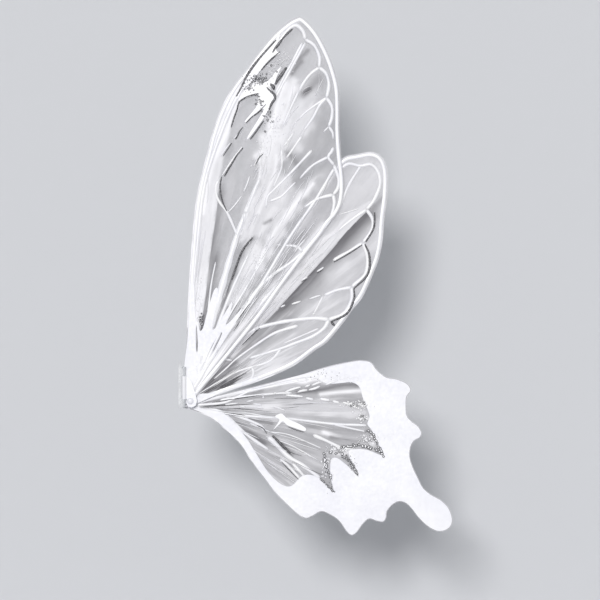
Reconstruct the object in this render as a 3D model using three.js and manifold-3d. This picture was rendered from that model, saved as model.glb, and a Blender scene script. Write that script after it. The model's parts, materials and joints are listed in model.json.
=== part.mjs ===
// A pair of costume fairy wings, folded together behind the wearer's back. Millimetres, +Z up.
// The wearer's back is at -X. The origin is the centre of the back plate's flat -X face.
// Each side has three panels of film, wire and ribs, stacked along Y on one pivot stud.
import * as THREE from 'three';
import { mergeVertices } from 'three/addons/utils/BufferGeometryUtils.js';
import Module from 'manifold-3d';

const wasm = await Module();
wasm.setup();

// Driving dimensions
const ROOT_X = 6;                 // wing root, from the back plate's flat face
const ROOT_Z = -29;               // wing root, from the back plate's centre
const FIRST_LAYER = 19;           // distance of the fore wing's mid-plane from the middle of the object
const LAYER_PITCH = 6;            // from one panel's mid-plane to the next
const FRAME_THICKNESS = 3;
const FRAME_WIDTH = 4.4;
const FILM_RIM = 2.7;             // film trimmed this far outside the frame
const FILM_THICKNESS = 0.5;
const FILM_OFFSET = 2.1;          // film's mid-plane, from the panel's mid-plane
const RIB_THICKNESS = 2.4;
const BORDER_THICKNESS = 2.4;
const GAP = 0.3;                  // clearance between pieces that touch
const STUD_X = 10;                // pivot stud, from the wing root
const STUD_Z = 8;
const STUD_RADIUS = 2;
const HOLE_RADIUS = 2.3;
const TAB_RADIUS = 6.5;
const WASHER_RADIUS = 5;
const WASHER_THICKNESS = 2.4;
const NUT_RADIUS = 4;
const NUT_THICKNESS = 2;
const NUT_Y = 1.6;                // lock nut's middle, from the middle of the object
const NUT_SIDES = 6;
const HEAD_START = 25.8;          // underside of the stud's head, from the middle of the object
const HEAD_END = 28.6;
const HEAD_RADIUS = 4.4;
const STUD_END = 0.3;
const FORE_GUSSET = 100;          // each frame is solid this near to the stud
const MIDDLE_GUSSET = 50;
const FILM_HOLE_CLEARANCE = 0.8;  // between a washer and the hole in the film round it
const LEAF_THICKNESS = 2;
const HINGE_X = 7.5;
const HINGE_Y = 26.5;
const KNUCKLE_RADIUS = 3;
const PIN_RADIUS = 1.5;
const PIN_HEAD_RADIUS = 2.6;
const PIN_HEAD_HEIGHT = 2;
const PIN_TAIL = 1;               // pin below the lowest knuckle
const KNUCKLE_HEIGHTS = [0, 10, 10.4, 41.6, 42, 52];
const PLATE_THICKNESS = 3;
const PLATE_WIDTH = 86;
const PLATE_HEIGHT = 64;
const SLOT_WIDTH = 5;
const SLOT_HEIGHT = 22;
const SLOT_Y = 35.5;
const SLOT_Z = 15;
const SLOT_CORNER = 1;
const PLATE_CORNER = 8;
const ROUND_SIDES = 16;
const THROUGH = 200;              // length of a cutter that passes right through
const PANEL_CUT = 9;              // thickness of a cutter for one panel

// Outlines as [x, z] points from the wing root, clockwise from the root.
const FORE_EDGE = [
  [-1, 4], [0, 38], [5, 79], [6, 131], [9, 185], [13, 239], [17, 277], [23, 308], [31, 339],
  [39, 370], [50, 401], [67, 433], [85, 456], [101, 478], [121, 502], [140, 519], [152, 526],
  [161, 527], [176, 513], [188, 495], [199, 472], [207, 448], [211, 428], [212, 402], [212, 374],
  [214, 342], [217, 317], [218, 300], [217, 284], [214, 271], [207, 258], [197, 247], [188, 233],
  [172, 213], [153, 188], [131, 158], [107, 124], [77, 86], [46, 48], [25, 22], [19, 9], [16, 1],
  [10, -2], [3, -1],
];
const MIDDLE_EDGE = [
  [0, 2], [2, 14], [12, 28], [53, 79], [84, 142], [110, 173], [143, 225], [162, 254], [178, 280],
  [197, 310], [209, 330], [220, 339], [234, 342], [250, 345], [260, 344], [269, 338], [275, 326],
  [277, 309], [276, 284], [272, 253], [270, 227], [265, 201], [255, 175], [243, 149], [229, 131],
  [216, 113], [195, 88], [178, 76], [147, 54], [103, 35], [72, 25], [41, 15], [20, 4], [10, -2],
  [3, -1],
];
const HIND_EDGE = [
  [1, 3], [4, 14], [11, 17], [20, 12], [45, 15], [82, 24], [131, 36], [162, 44], [193, 54],
  [229, 62], [245, 63], [255, 60], [261, 52], [268, 45], [276, 40], [288, 38], [301, 33], [307, 27],
  [308, 21], [303, 14], [302, 2], [303, -11], [309, -19], [318, -26], [323, -35], [320, -42],
  [313, -46], [308, -55], [307, -67], [311, -81], [318, -96], [325, -109], [335, -118], [349, -126],
  [359, -136], [364, -148], [364, -158], [358, -166], [347, -169], [337, -166], [327, -159],
  [318, -150], [311, -141], [304, -133], [297, -129], [290, -129], [282, -134], [276, -142],
  [275, -150], [271, -156], [262, -155], [252, -152], [244, -158], [235, -170], [228, -174],
  [221, -169], [211, -155], [200, -147], [187, -142], [175, -148], [166, -151], [153, -144],
  [126, -118], [111, -99], [93, -75], [77, -51], [61, -35], [44, -20], [27, -11], [12, -4], [5, -3],
];
const HIND_WINDOW = [
  [66, 8], [131, 25], [170, 33], [205, 34], [230, 33], [238, 27], [243, 12], [248, 0], [252, -13],
  [249, -23], [255, -32], [261, -46], [271, -65], [249, -58], [234, -57], [224, -60], [228, -77],
  [237, -94], [222, -79], [208, -69], [200, -72], [199, -93], [203, -115], [188, -99], [173, -92],
  [160, -94], [146, -106], [132, -101], [110, -76], [87, -43], [68, -22], [58, -9],
];
// The hind wing's border keeps clear of these: its root, and its upper edge beside the spar.
const BORDER_ROOT_LIMIT = [
  [-20, 40], [150, 80], [150, 26], [60, 5], [56, -9], [64, -34], [64, -60], [-20, -60],
];
const BORDER_SPAR_LIMIT = [[100, 0], [100, 90], [196, 90], [196, 20]];
const LEAF_OUTLINE = [
  [1, 10.8], [5.2, 10.8], [5.2, 4], [7, 0.5], [12, -0.8], [17, 2], [19, 8], [17, 18], [12, 33],
  [7, 41.2], [1, 41.2],
];

// Ribs as [width, points]. Each one ends on another rib or on its panel's frame.
const FORE_RIBS = [
  [4, [[12, 95], [18, 150], [23, 239], [30, 295], [41, 339], [65, 401], [92, 449], [126, 493],
    [146, 511], [158, 511], [165, 498]]],
  [3, [[165, 498], [177, 492], [184, 476], [185, 460], [194, 450], [198, 434], [194, 419],
    [201, 408], [202, 393], [197, 380], [202, 366], [202, 351], [195, 341], [204, 327],
    [210, 309], [209, 296], [203, 287], [202, 272], [188, 254], [170, 230], [155, 209]]],
  [8, [[24, 80], [42, 131], [62, 196], [81, 258], [96, 327], [115, 394], [141, 455], [165, 498]]],
  [3, [[46, 115], [85, 232], [107, 300], [124, 354], [146, 408], [165, 443], [185, 460]]],
  [3, [[60, 137], [99, 232], [122, 297], [150, 357], [173, 388], [194, 419]]],
  [3, [[77, 178], [107, 255], [124, 296], [151, 322], [197, 380]]],
  [3, [[62, 120], [93, 168], [131, 236], [158, 284], [182, 313], [204, 327]]],
  [3, [[24, 290], [43, 300], [45, 286], [59, 263], [80, 250]]],
  [3, [[60, 96], [74, 120], [109, 172], [139, 197], [155, 209], [170, 230]]],
  [3, [[148, 270], [162, 272], [182, 280], [203, 287]]],
];
const MIDDLE_RIBS = [
  [3, [[203, 310], [218, 326], [240, 326], [254, 328], [265, 315], [265, 299], [258, 282],
    [249, 267], [255, 251], [253, 236], [242, 223], [248, 204], [244, 181], [225, 161],
    [224, 146], [213, 128], [195, 118], [174, 97], [145, 83], [112, 73], [77, 55], [45, 30]]],
  [3, [[60, 58], [104, 115], [153, 172], [196, 224], [224, 253], [249, 267]]],
  [3, [[66, 66], [115, 122], [162, 170], [203, 198], [242, 223]]],
  [3, [[60, 55], [77, 77], [115, 120], [158, 143], [199, 155], [225, 161]]],
  [3, [[50, 45], [66, 69], [91, 99], [120, 112], [162, 119], [195, 118]]],
  [3, [[178, 250], [213, 273], [224, 300], [240, 326]]],
];
const HIND_RIBS = [
  [4, [[66, 1], [136, 20], [182, 31], [240, 36]]],
  [3, [[66, 1], [116, 12], [162, 13], [219, 7], [260, 0]]],
  [4, [[66, 1], [66, -6], [96, -12], [136, -16], [185, -22], [260, -28]]],
  [3, [[66, -6], [85, -18], [120, -30], [165, -36], [193, -45], [235, -62]]],
  [3, [[120, -30], [136, -18]]],
  [5, [[66, -6], [77, -18], [99, -26], [116, -42], [136, -62], [161, -78], [190, -100]]],
];

const white = (name, roughness) => new THREE.MeshStandardMaterial({
  name, color: 0xf4f6fa, roughness, metalness: 0,
});
const MATERIALS = {
  frame: white('frame', 0.3),
  border: white('border', 0.45),
  film: new THREE.MeshStandardMaterial({
    name: 'film', color: 0xe8eaee, roughness: 0.15, transparent: true, opacity: 0.35,
  }),
  painted: white('painted', 0.4),
  nylon: white('nylon', 0.5),
  clear: new THREE.MeshStandardMaterial({
    name: 'clear', color: 0xe8eaee, roughness: 0.1, transparent: true, opacity: 0.3,
  }),
  steel: new THREE.MeshStandardMaterial({
    name: 'steel', color: 0xb8bcc2, roughness: 0.3, metalness: 1,
  }),
};

const vector = ([x, z]) => new THREE.Vector2(x, z);
const distance = (point) => Math.hypot(point[0] - STUD_X, point[1] - STUD_Z);

// A flat piece: the outline lies in X and Z, and the thickness is centred on Y = 0.
function plate(outline, thickness, holes = []) {
  const points = outline.map(vector);
  if (THREE.ShapeUtils.isClockWise(points)) {
    points.reverse();
  }
  const shape = new THREE.Shape(points);
  shape.holes = holes.map((hole) => new THREE.Path(hole.map(vector)));
  const geometry = new THREE.ExtrudeGeometry(shape, { depth: thickness, bevelEnabled: false });
  return geometry.translate(0, 0, -thickness / 2).rotateX(Math.PI / 2);
}

function toSolid(geometry) {
  const bare = geometry.clone();
  bare.deleteAttribute('normal');
  bare.deleteAttribute('uv');
  const merged = mergeVertices(bare, 1e-4);
  return new wasm.Manifold(new wasm.Mesh({
    numProp: 3,
    vertProperties: new Float32Array(merged.attributes.position.array),
    triVerts: new Uint32Array(merged.index.array),
  }));
}

function toGeometry(solid) {
  const mesh = solid.getMesh();
  const geometry = new THREE.BufferGeometry();
  geometry.setAttribute('position', new THREE.BufferAttribute(mesh.vertProperties, 3));
  geometry.setIndex(new THREE.BufferAttribute(mesh.triVerts, 1));
  geometry.computeVertexNormals();
  return geometry;
}

// Each point of a clockwise loop moved inwards, along the bisector of its two edges.
function inset(outline, amount) {
  return outline.map((point, i) => {
    const before = vector(outline.at(i - 1));
    const here = vector(point);
    const after = vector(outline[(i + 1) % outline.length]);
    const edgeIn = here.clone().sub(before).normalize();
    const edgeOut = after.sub(here).normalize();
    const inward = new THREE.Vector2(edgeIn.y + edgeOut.y, -edgeIn.x - edgeOut.x).normalize();
    const stretch = Math.max(0.7, Math.abs(inward.dot(new THREE.Vector2(edgeIn.y, -edgeIn.x))));
    return [here.x + (inward.x * amount) / stretch, here.y + (inward.y * amount) / stretch];
  });
}

// A flat bar of constant width that follows an open line.
function bar(points, width, thickness) {
  const half = width / 2;
  const sides = [1, -1].map((side) => points.map((point, i) => {
    const before = vector(points[Math.max(0, i - 1)]);
    const after = vector(points[Math.min(points.length - 1, i + 1)]);
    const along = after.sub(before).normalize();
    return [point[0] - along.y * half * side, point[1] + along.x * half * side];
  }));
  return plate([...sides[0], ...sides[1].reverse()], thickness);
}

function disc(radius, thickness, x = STUD_X, z = STUD_Z) {
  const circumradius = radius / Math.cos(Math.PI / ROUND_SIDES);
  const geometry = new THREE.CylinderGeometry(circumradius, circumradius, thickness, ROUND_SIDES);
  return geometry.translate(x, 0, z);
}

// Joins flat bars, and keeps what lies inside a boundary.
function ribNet(ribs, boundary) {
  const bars = ribs.map(([width, points]) => toSolid(bar(points, width, RIB_THICKNESS)));
  const joined = bars.reduce((total, next) => total.add(next));
  const room = toSolid(plate(boundary, 2 * RIB_THICKNESS));
  return toGeometry(joined.intersect(room));
}

// The frame's inner edge, closed across the solid gusset at the root.
function frameOpening(edge, gusset, extra = 0) {
  return inset(edge, FILM_RIM + FRAME_WIDTH + extra)
    .filter((point, i) => distance(edge[i]) > gusset && distance(point) > gusset + extra);
}

// The space for the root tab and its free end, below the stud.
function tabRoom() {
  const right = STUD_X + TAB_RADIUS + GAP;
  const far = -3 * TAB_RADIUS;
  const corner = plate([[far, far], [right, far], [right, STUD_Z], [far, STUD_Z]], PANEL_CUT);
  return toSolid(disc(TAB_RADIUS + GAP, PANEL_CUT)).add(toSolid(corner));
}

function loopFrame(edge, gusset) {
  const frame = plate(inset(edge, FILM_RIM), FRAME_THICKNESS, [frameOpening(edge, gusset)]);
  return toGeometry(toSolid(frame).subtract(tabRoom()));
}

// The hind wing has no loop: a leading spar and a root gusset carry its wide opaque border.
function hindFrameOutline(margin) {
  const outer = inset(HIND_EDGE, FILM_RIM - margin);
  const inner = inset(HIND_EDGE, FILM_RIM + FRAME_WIDTH + margin);
  const sparStart = 5;
  const sparEnd = 9;
  const gussetStart = HIND_EDGE.length - 5;
  const gussetEdge = [[58 + margin, 7 - margin], [52 + margin, -8]];
  return [
    ...outer.slice(0, sparEnd),
    ...inner.slice(sparStart, sparEnd).reverse(),
    ...gussetEdge,
    ...outer.slice(gussetStart),
  ];
}

function hindFrame() {
  const frame = plate(hindFrameOutline(0), FRAME_THICKNESS);
  return toGeometry(toSolid(frame).subtract(tabRoom()));
}

function hindBorder() {
  const whole = toSolid(plate(inset(HIND_EDGE, FILM_RIM), BORDER_THICKNESS, [HIND_WINDOW]));
  const limits = [hindFrameOutline(GAP), BORDER_ROOT_LIMIT, BORDER_SPAR_LIMIT];
  const cutters = limits.map((limit) => toSolid(plate(limit, PANEL_CUT)));
  return toGeometry(cutters.reduce((rest, cutter) => rest.subtract(cutter), whole));
}

function film(edge) {
  const sheet = toSolid(plate(edge, FILM_THICKNESS));
  return toGeometry(sheet.subtract(toSolid(disc(WASHER_RADIUS + FILM_HOLE_CLEARANCE, PANEL_CUT))));
}

// A round tab on the stud: it is riveted into the panel's root gusset.
function rootTab() {
  const tab = toSolid(disc(TAB_RADIUS, FRAME_THICKNESS));
  return toGeometry(tab.subtract(toSolid(disc(HOLE_RADIUS, PANEL_CUT))));
}

// A washer or nut on the stud.
function ringOnStud(radius, thickness, sides) {
  const circumradius = radius / Math.cos(Math.PI / sides);
  const outer = new THREE.CylinderGeometry(circumradius, circumradius, thickness, sides);
  const solid = toSolid(outer.translate(STUD_X, 0, STUD_Z));
  return toGeometry(solid.subtract(toSolid(disc(HOLE_RADIUS, PANEL_CUT))));
}

// Turned about Y. The profile is [radius, y] from the domed head to the threaded end.
function pivotStud(side) {
  const chamfer = 0.3;
  const profile = [[0, HEAD_END], [2.6, HEAD_END - 0.4], [4.2, HEAD_END - 1.4],
    [HEAD_RADIUS, HEAD_START], [STUD_RADIUS, HEAD_START], [STUD_RADIUS, STUD_END + chamfer],
    [STUD_RADIUS - chamfer, STUD_END], [0, STUD_END]];
  const points = profile.map(([radius, y]) => new THREE.Vector2(radius, y));
  const geometry = new THREE.LatheGeometry(points.reverse(), ROUND_SIDES);
  if (side < 0) {
    geometry.rotateX(Math.PI);
  }
  return geometry.translate(STUD_X, 0, STUD_Z);
}

function knuckle(low, high, y) {
  const height = high - low;
  const geometry = new THREE.CylinderGeometry(KNUCKLE_RADIUS, KNUCKLE_RADIUS, height, ROUND_SIDES);
  return geometry.rotateX(Math.PI / 2).translate(HINGE_X, y, ROOT_Z + (low + high) / 2);
}

function pinBore(y) {
  const radius = (PIN_RADIUS + GAP) / Math.cos(Math.PI / ROUND_SIDES);
  const bore = new THREE.CylinderGeometry(radius, radius, THROUGH, ROUND_SIDES);
  return toSolid(bore.rotateX(Math.PI / 2).translate(HINGE_X, y, 0));
}

function hingeLeaf(side) {
  const y = side * HINGE_Y;
  const leafY = side * (HINGE_Y - KNUCKLE_RADIUS + LEAF_THICKNESS / 2);
  const [, , low, high] = KNUCKLE_HEIGHTS;
  const leaf = toSolid(plate(LEAF_OUTLINE, LEAF_THICKNESS).translate(ROOT_X, leafY, ROOT_Z));
  const hole = toSolid(disc(HOLE_RADIUS, THROUGH).translate(ROOT_X, 0, ROOT_Z));
  const joined = leaf.add(toSolid(knuckle(low, high, y))).subtract(hole);
  return toGeometry(joined.subtract(pinBore(y)));
}

function hingePin(side) {
  const chamfer = 0.4;
  const headStart = KNUCKLE_HEIGHTS.at(-1) + GAP;
  const headEnd = headStart + PIN_HEAD_HEIGHT;
  const profile = [[0, -PIN_TAIL], [PIN_RADIUS - chamfer, -PIN_TAIL],
    [PIN_RADIUS, chamfer - PIN_TAIL], [PIN_RADIUS, headStart], [PIN_HEAD_RADIUS, headStart],
    [PIN_HEAD_RADIUS, headEnd - chamfer], [PIN_HEAD_RADIUS - chamfer, headEnd], [0, headEnd]];
  const points = profile.map(([radius, z]) => new THREE.Vector2(radius, z));
  const geometry = new THREE.LatheGeometry(points, ROUND_SIDES).rotateX(Math.PI / 2);
  return geometry.translate(HINGE_X, side * HINGE_Y, ROOT_Z);
}

function roundedRectangle(width, height, corner) {
  const points = [];
  const steps = 4;
  for (const [signX, signZ, start] of [[1, 1, 0], [-1, 1, 1], [-1, -1, 2], [1, -1, 3]]) {
    for (let i = 0; i <= steps; i += 1) {
      const angle = ((start + i / steps) * Math.PI) / 2;
      points.push([
        signX * (width / 2 - corner) + corner * Math.cos(angle),
        signZ * (height / 2 - corner) + corner * Math.sin(angle),
      ]);
    }
  }
  return points;
}

// The plate against the wearer's back, with four strap slots and the fixed hinge knuckles.
function backPlate() {
  const slot = roundedRectangle(SLOT_WIDTH, SLOT_HEIGHT, SLOT_CORNER);
  const slots = [[-1, -1], [-1, 1], [1, -1], [1, 1]].map(([sideY, sideZ]) => (
    slot.map((point) => [point[0] + sideY * SLOT_Y, point[1] + sideZ * SLOT_Z])
  ));
  const outline = roundedRectangle(PLATE_WIDTH, PLATE_HEIGHT, PLATE_CORNER);
  const flat = plate(outline, PLATE_THICKNESS, slots);
  flat.rotateZ(Math.PI / 2).translate(PLATE_THICKNESS / 2, 0, 0);
  const [lowest, lowTop, , , highBottom, highest] = KNUCKLE_HEIGHTS;
  const webStart = PLATE_THICKNESS / 2;
  let solid = toSolid(flat);
  for (const y of [-HINGE_Y, HINGE_Y]) {
    for (const [low, high] of [[lowest, lowTop], [highBottom, highest]]) {
      const web = new THREE.BoxGeometry(HINGE_X - webStart, 2 * KNUCKLE_RADIUS, high - low);
      web.translate((HINGE_X + webStart) / 2, y, ROOT_Z + (low + high) / 2);
      solid = solid.add(toSolid(web)).add(toSolid(knuckle(low, high, y)));
    }
    solid = solid.subtract(pinBore(y));
  }
  return toGeometry(solid);
}

const fairyWings = new THREE.Group();

function addMesh(parent, name, geometry, material, y = 0) {
  const mesh = new THREE.Mesh(geometry, MATERIALS[material]);
  mesh.name = name;
  mesh.position.y = y;
  parent.add(mesh);
}

const PANELS = {
  fore: {
    edge: FORE_EDGE,
    frame: () => loopFrame(FORE_EDGE, FORE_GUSSET),
    ribs: () => ribNet(FORE_RIBS, frameOpening(FORE_EDGE, FORE_GUSSET, GAP)),
  },
  middle: {
    edge: MIDDLE_EDGE,
    frame: () => loopFrame(MIDDLE_EDGE, MIDDLE_GUSSET),
    ribs: () => ribNet(MIDDLE_RIBS, frameOpening(MIDDLE_EDGE, MIDDLE_GUSSET, GAP)),
  },
  hind: {
    edge: HIND_EDGE,
    frame: hindFrame,
    ribs: () => ribNet(HIND_RIBS, inset(HIND_WINDOW, GAP)),
  },
};

function addPanel(root, label, side, panel, y) {
  addMesh(root, `${label}_root_tab`, rootTab(), 'painted', y);
  addMesh(root, `${label}_frame`, panel.frame(), 'frame', y);
  addMesh(root, `${label}_ribs`, panel.ribs(), 'frame', y);
  addMesh(root, `${label}_outer_film`, film(panel.edge), 'film', y + side * FILM_OFFSET);
  addMesh(root, `${label}_inner_film`, film(panel.edge), 'film', y - side * FILM_OFFSET);
  if (panel === PANELS.hind) {
    addMesh(root, `${label}_border`, hindBorder(), 'border', y);
  }
}

function addSide(name, side) {
  addMesh(fairyWings, `${name}_hinge_leaf`, hingeLeaf(side), 'painted');
  addMesh(fairyWings, `${name}_hinge_pin`, hingePin(side), 'steel');
  const root = new THREE.Group();
  root.position.set(ROOT_X, 0, ROOT_Z);
  fairyWings.add(root);
  addMesh(root, `${name}_pivot_stud`, pivotStud(side), 'painted');
  Object.entries(PANELS).forEach(([panelName, panel], layer) => {
    const y = side * (FIRST_LAYER - layer * LAYER_PITCH);
    addPanel(root, `${name}_${panelName}`, side, panel, y);
  });
  ['outer', 'fore', 'middle', 'inner'].forEach((place, i) => {
    const y = side * (FIRST_LAYER + LAYER_PITCH / 2 - i * LAYER_PITCH);
    const washer = ringOnStud(WASHER_RADIUS, WASHER_THICKNESS, ROUND_SIDES);
    addMesh(root, `${name}_${place}_washer`, washer, 'nylon', y);
  });
  const nut = ringOnStud(NUT_RADIUS, NUT_THICKNESS, NUT_SIDES);
  addMesh(root, `${name}_lock_nut`, nut, 'steel', side * NUT_Y);
}

addMesh(fairyWings, 'back_plate', backPlate(), 'clear');
addSide('left', -1);
addSide('right', 1);

export default fairyWings;
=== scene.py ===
"""A pair of costume fairy wings, folded together: film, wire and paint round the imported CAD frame."""
import json
import math
import random
from types import SimpleNamespace

import bpy
import numpy as np
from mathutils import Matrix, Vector
from mathutils.geometry import delaunay_2d_cdt


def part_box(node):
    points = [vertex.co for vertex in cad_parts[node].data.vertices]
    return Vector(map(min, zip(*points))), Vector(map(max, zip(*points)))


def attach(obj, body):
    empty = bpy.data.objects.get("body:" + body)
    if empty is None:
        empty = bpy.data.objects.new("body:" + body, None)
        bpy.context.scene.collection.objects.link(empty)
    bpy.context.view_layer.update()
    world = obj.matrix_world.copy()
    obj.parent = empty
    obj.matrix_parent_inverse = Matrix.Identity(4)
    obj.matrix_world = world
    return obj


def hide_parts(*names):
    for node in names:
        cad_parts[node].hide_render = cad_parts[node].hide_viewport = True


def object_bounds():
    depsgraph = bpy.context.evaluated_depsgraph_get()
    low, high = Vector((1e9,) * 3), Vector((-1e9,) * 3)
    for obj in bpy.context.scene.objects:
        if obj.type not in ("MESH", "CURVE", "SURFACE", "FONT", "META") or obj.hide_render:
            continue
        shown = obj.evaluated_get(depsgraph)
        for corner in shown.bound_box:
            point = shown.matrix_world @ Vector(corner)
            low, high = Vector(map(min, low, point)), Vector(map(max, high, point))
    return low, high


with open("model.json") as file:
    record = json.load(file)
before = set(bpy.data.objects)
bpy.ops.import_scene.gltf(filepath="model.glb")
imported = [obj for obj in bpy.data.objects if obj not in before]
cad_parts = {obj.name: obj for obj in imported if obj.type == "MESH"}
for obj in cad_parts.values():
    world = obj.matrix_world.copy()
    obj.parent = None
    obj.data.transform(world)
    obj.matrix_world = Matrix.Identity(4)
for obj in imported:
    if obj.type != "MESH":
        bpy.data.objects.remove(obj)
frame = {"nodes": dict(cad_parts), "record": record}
cad_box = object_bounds()

MM = 0.001
SIDES = {"left": -1, "right": 1}

# Sizes in mm.
STUD_FROM_ROOT = (10, 8)  # the pivot stud, from the point where all panels meet
RIM = 1.7  # film left outside the frame
FRAME_WIDTH = 4.8
FRAME_HEIGHT = 2.2
RIB_HEIGHT = 1.8
BORDER_THICKNESS = 2.4
SHEET_THICKNESS = 0.9  # the gussets and the painted patches
FILM_STEP = 2.2  # spacing of the film mesh's points
CRISP = 0.5  # half the width of a crisp change of shade in the film
FAN_CLEARANCE = 4.5  # from a fine line to the panel's edge
DROP_CLEARANCE = 2.5  # from the middle of a drop of paint to the panel's edge
VIEW_CENTRE = (158.1, 144.6)  # the middle of the picture, from the root

# Sizes in m.
CAMERA_DISTANCE = 10.0
VIEW_WIDTH = 0.811
BACKDROP_DISTANCE = 0.51  # clear of the far wing when it opens
BACKDROP = (-2.2, 4.7, 2.113)  # its left edge, width and height
FLOOR_REACH = 3
FLOOR_DROP = 0.11  # the floor, below the wings
SHADOW_OFFSET = (0.05, -0.08)  # the wings' shadow on the backdrop: how far to the right and up
SHADOW_BLUR = 0.082  # the shadow's soft edge

RIB_BOLDNESS = 1.45  # coated rib width, against the bare widths below
FAN_POINTS = 8  # points along a fine line
STREAKS = 14.0  # streaks in the film for each tenth of a turn about the root
KEY_STRENGTH = 1.8
WORLD_STRENGTH = 0.522

# What each panel is made from. Its base is the film's brightness and cover away from any shading.
fore = SimpleNamespace(base=(0.58, 0.5))
middle = SimpleNamespace(base=(0.76, 0.62), patches=[])
hind = SimpleNamespace(base=(0.58, 0.66), gusset=[])
PANELS = {"fore": fore, "middle": middle, "hind": hind}

# Outlines as (x, z) from the wing root in mm, clockwise from the root.
fore.edge = [
    (1.2, -0.6), (0.4, 1.2), (0, 10), (0, 38), (4, 79), (6, 131), (9, 185), (13, 239), (17, 277), (23, 308),
    (31, 339), (39, 370), (50, 401), (67, 433), (85, 456), (101, 478), (121, 502), (140, 519), (152, 526),
    (161, 527), (176, 513), (188, 495), (199, 472), (207, 448), (211, 428), (212, 402), (212, 374),
    (214, 342), (217, 317), (218, 300), (217, 284), (214, 271), (207, 258), (197, 247), (188, 233),
    (172, 213), (153, 188), (131, 158), (107, 124), (77, 86), (46, 48), (25, 22), (12, 6), (4, -1),
]
middle.edge = [
    (-1, -1), (4, 14), (14, 28), (53, 79), (84, 142), (110, 173), (143, 225), (162, 254), (178, 280),
    (197, 310), (209, 330), (220, 339), (234, 342), (250, 345), (260, 344), (269, 338), (275, 326),
    (277, 309), (276, 284), (272, 253), (270, 227), (265, 201), (255, 175), (243, 149), (229, 131),
    (216, 113), (195, 88), (178, 76), (147, 54), (103, 35), (72, 25), (41, 14), (20, 5), (8, 0),
]
hind.edge = [
    (-1, 1), (8, 5), (20, 9), (45, 15), (82, 24), (131, 36), (162, 44), (193, 54), (229, 62), (245, 63),
    (255, 60), (261, 52), (268, 45), (276, 40), (288, 38), (301, 33), (307, 27), (308, 21), (303, 14),
    (302, 2), (303, -11), (309, -19), (318, -26), (323, -35), (320, -42), (313, -46), (308, -55),
    (307, -67), (311, -81), (318, -96), (325, -109), (335, -118), (349, -126), (359, -136), (364, -148),
    (364, -158), (358, -166), (347, -169), (337, -166), (327, -159), (318, -150), (311, -141), (304, -133),
    (297, -129), (290, -129), (282, -134), (276, -142), (275, -150), (271, -156), (262, -155), (252, -152),
    (244, -158), (235, -170), (228, -174), (221, -169), (211, -155), (200, -147), (187, -142), (175, -148),
    (166, -151), (153, -144), (126, -118), (111, -99), (93, -75), (77, -51), (61, -35), (44, -20),
    (27, -10), (12, -4), (3, -2),
]
# The opening in the hind wing's white border.
hind.window = [
    (20, 3), (60, 15), (100, 25), (131, 33), (155, 38), (170, 40), (182, 37), (192, 32), (202, 31),
    (214, 32), (228, 33), (238, 27), (243, 12), (248, 0), (252, -13), (249, -23), (255, -32), (261, -46),
    (271, -65), (249, -58), (234, -57), (224, -60), (228, -77), (237, -94), (222, -79), (208, -69),
    (200, -72), (199, -93), (203, -115), (188, -99), (173, -92), (160, -94), (146, -107), (132, -104),
    (115, -88), (97, -60), (84, -40), (57, -10), (26, -2),
]

# Ribs as (width at the start, width at the end, points), in mm.
fore.ribs = [
    (4, 3.5, [(4, 12), (9, 79), (13, 150), (21, 239), (28, 295), (40, 339), (64, 401), (91, 449),
     (122, 485), (133, 498), (143, 511), (153, 516), (162, 508), (165, 497)]),
    (3, 3, [(165, 497), (177, 489), (184, 474), (184, 459)]),
    (3, 3, [(184, 459), (193, 451), (197, 436), (194, 418)]),
    (3, 2.8, [(194, 418), (201, 406), (201, 392), (197, 379)]),
    (2.8, 1.2, [(197, 379), (202, 371), (203, 362)]),
    (2.6, 2.8, [(203, 351), (200, 344), (196, 338), (204, 327)]),
    (3, 2.8, [(204, 327), (210, 309), (209, 296), (203, 287)]),
    (3, 2.8, [(203, 287), (204, 273), (197, 251), (179, 230), (161, 209)]),
    (10, 4.4, [(4, 8), (28, 84), (46, 140), (62, 196), (73, 232), (84, 262)]),
    (4.4, 3, [(84, 262), (95, 289), (104, 309)]),
    (2.4, 2.6, [(125, 424), (139, 451), (148, 467), (161, 492)]),
    (2.6, 2.4, [(126, 420), (141, 448), (165, 492)]),
    (2.8, 1.6, [(184, 459), (173, 451), (164, 440), (154, 422), (145, 403), (135, 380)]),
    (2.6, 1.4, [(194, 418), (177, 407), (164, 397), (156, 388)]),
    (2.8, 1.8, [(194, 418), (185, 409), (176, 392), (164, 374)]),
    (2.2, 1.6, [(160, 366), (150, 351), (140, 337)]), (2, 1.6, [(150, 372), (136, 352)]),
    (2, 1.4, [(133, 348), (133, 324), (122, 297)]),
    (2.4, 2, [(174, 347), (145, 316), (122, 293), (114, 284), (112, 270)]),
    (2.4, 1.6, [(117, 278), (133, 285), (145, 297), (152, 304)]),
    (2.6, 1.8, [(196, 338), (177, 328), (166, 318), (158, 309)]),
    (2.6, 3.4, [(204, 322), (179, 280), (145, 231), (110, 173), (83, 132), (44, 76), (12, 22)]),
    (3.2, 2, [(203, 287), (190, 284), (179, 280), (164, 270)]),
    (2.2, 2.6, [(49, 307), (45, 301), (45, 287), (50, 276), (60, 262), (73, 233)]),
    (3.2, 2, [(161, 209), (157, 215), (148, 218), (138, 218)]),
    (3, 3.6, [(161, 209), (145, 195), (118, 176), (92, 148), (54, 92), (12, 20)]),
    (4.5, 2, [(8, 14), (40, 92), (66, 158), (92, 214)]),
    (3.4, 1.6, [(10, 14), (52, 104), (88, 166), (112, 206)]), (2, 1.2, [(34, 128), (38, 165), (44, 196)]),
]
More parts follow.
